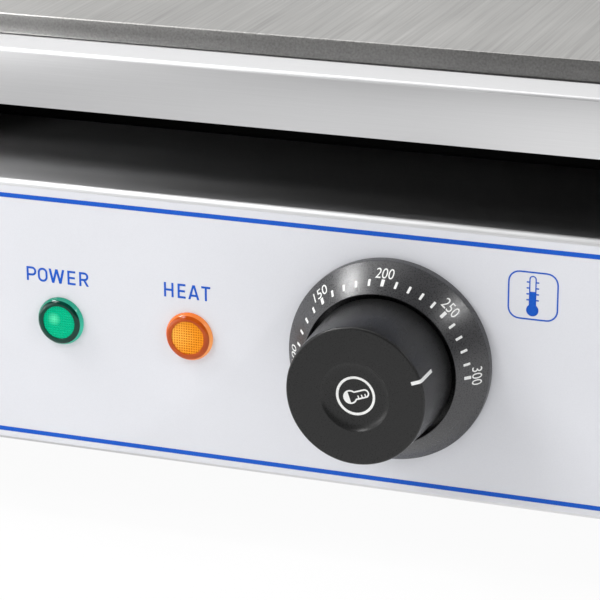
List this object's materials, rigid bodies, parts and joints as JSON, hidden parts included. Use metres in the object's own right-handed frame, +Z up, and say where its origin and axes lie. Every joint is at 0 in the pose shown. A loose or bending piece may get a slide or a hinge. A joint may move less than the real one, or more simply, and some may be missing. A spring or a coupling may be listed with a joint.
{
  "type": "flat top griddle",
  "caption": "Countertop electric griddle: steel plate with splash guard and grease trough over a case with thermostat knob, pilot lamps, grease drawer and levelling feet.",
  "frame": {"origin": "on the worktop, under the middle of the bounding box", "axes": "+X to the right as seen from the front, +Y to the back, +Z up; the control panel faces -Y"},
  "size_m": [0.5548, 0.465, 0.24],
  "materials": {
    "case_steel": "satin",
    "panel_film": "satin",
    "plate_steel": "satin",
    "guard_steel": "satin",
    "element_steel": "matte",
    "ceramic": "matte",
    "fastener_steel": "satin",
    "fibre_board": "matte",
    "shield_steel": "satin",
    "control_plastic": "matte",
    "copper": "satin",
    "knob_plastic": "satin",
    "bezel_plastic": "satin",
    "green_lens": "gloss",
    "amber_lens": "gloss",
    "black_plastic": "matte",
    "lamp_glass": "gloss",
    "red_plastic": "gloss",
    "brass": "satin",
    "rubber": "matte",
    "wire_sleeve": "matte",
    "drawer_steel": "satin",
    "handle_chrome": "polished"
  },
  "bodies": {
    "case": {"base_pan": "case_steel", "left_side": "case_steel", "right_side": "case_steel", "back_panel": "case_steel", "front_panel": "case_steel", "panel_film": "panel_film", "griddle_plate": "plate_steel", "splash_guard": "guard_steel", "front_trough": "guard_steel", "drain_spout": "guard_steel", "left_element": "element_steel", "right_element": "element_steel", "element_beads": "ceramic", "clamp_bars": "fastener_steel", "plate_studs": "fastener_steel", "clamp_nuts": "fastener_steel", "insulation_board": "fibre_board", "heat_shield": "shield_steel", "shield_nuts": "fastener_steel", "thermostat_body": "control_plastic", "thermostat_bulb": "copper", "thermostat_screws": "fastener_steel", "dial_bezel": "bezel_plastic", "power_lamp_lens": "green_lens", "heat_lamp_lens": "amber_lens", "lamp_sockets": "black_plastic", "lamp_bulbs": "lamp_glass", "lamp_clips": "fastener_steel", "limiter_body": "control_plastic", "limiter_nut": "fastener_steel", "limiter_bulb": "copper", "terminal_block": "ceramic", "terminal_screws": "brass", "gland_body": "black_plastic", "gland_nut": "black_plastic", "gland_seal": "rubber", "gland_locknut": "black_plastic", "bonding_stud": "brass", "bonding_nuts": "brass", "wiring": "wire_sleeve", "drawer_runners": "shield_steel", "foot_nuts": "fastener_steel", "case_screws": "fastener_steel", "top_fasteners": "fastener_steel"},
    "knob": {"control_knob": "knob_plastic", "knob_clip": "fastener_steel", "thermostat_spindle": "fastener_steel"},
    "drawer": {"drawer_pan": "drawer_steel", "drawer_front": "drawer_steel", "drawer_handle": "handle_chrome", "drawer_screws": "fastener_steel"},
    "reset_button": {"limiter_button": "red_plastic"},
    "foot_fl": {"foot_pad_fl": "rubber", "foot_stud_fl": "fastener_steel"},
    "foot_fr": {"foot_pad_fr": "rubber", "foot_stud_fr": "fastener_steel"},
    "foot_bl": {"foot_pad_bl": "rubber", "foot_stud_bl": "fastener_steel"},
    "foot_br": {"foot_pad_br": "rubber", "foot_stud_br": "fastener_steel"}
  },
  "joints": [
    {"name": "knob_turn", "type": "hinge", "parent": "case", "child": "knob", "pos_m": [0.1, -0.1915, 0.0835], "axis": [0, -1, 0], "range_deg": [-20, 250]},
    {"name": "drawer_slide", "type": "slide", "parent": "case", "child": "drawer", "axis": [0, -1, 0], "range_m": [0, 0.085]},
    {"name": "reset_push", "type": "slide", "parent": "case", "child": "reset_button", "axis": [0, -1, 0], "range_m": [0, 0.0025], "stiffness_N_per_m": 400},
    {"name": "foot_fl_screw", "type": "slide", "parent": "case", "child": "foot_fl", "axis": [0, 0, -1], "range_m": [0, 0.01]},
    {"name": "foot_fr_screw", "type": "slide", "parent": "case", "child": "foot_fr", "axis": [0, 0, -1], "range_m": [0, 0.01]},
    {"name": "foot_bl_screw", "type": "slide", "parent": "case", "child": "foot_bl", "axis": [0, 0, -1], "range_m": [0, 0.01]},
    {"name": "foot_br_screw", "type": "slide", "parent": "case", "child": "foot_br", "axis": [0, 0, -1], "range_m": [0, 0.01]}
  ]
}
